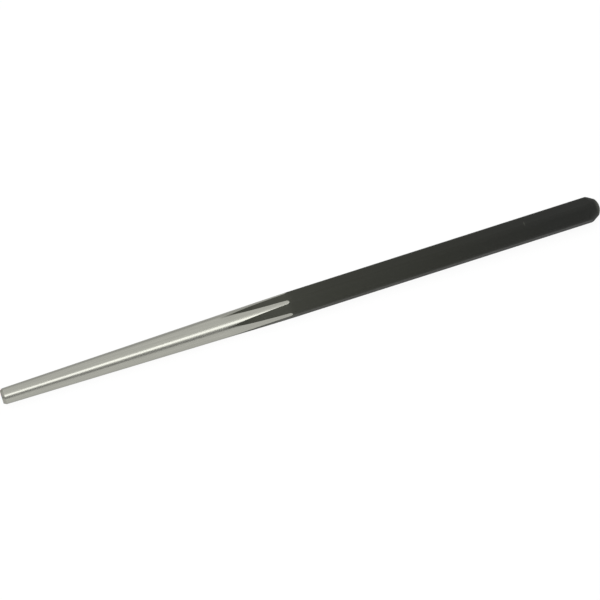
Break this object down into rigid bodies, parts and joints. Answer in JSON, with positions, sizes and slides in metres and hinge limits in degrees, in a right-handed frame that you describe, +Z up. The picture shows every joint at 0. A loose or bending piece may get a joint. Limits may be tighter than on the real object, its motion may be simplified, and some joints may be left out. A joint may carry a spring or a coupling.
{
  "type": "taper punch",
  "caption": "Long taper punch for lining up holes and driving pins: a hexagonal steel bar with a black-coated shank, a domed striking end and a long bright ground cone.",
  "frame": {"origin": "middle of the length and of the width, on the surface that the punch lies on", "axes": "+X along the bar from the tip to the struck end, +Z up, square to the flat that the bar lies on; the bar's own axis is parallel to X at the middle of the hexagon"},
  "size_m": [0.405, 0.0176, 0.0161],
  "materials": {
    "ground_steel": "ground and polished lengthwise, bright",
    "black_coat": "satin black powder coat, slightly olive"
  },
  "bodies": {
    "root": {"steel_bar": "ground_steel", "black_coat": "black_coat"}
  },
  "joints": []
}
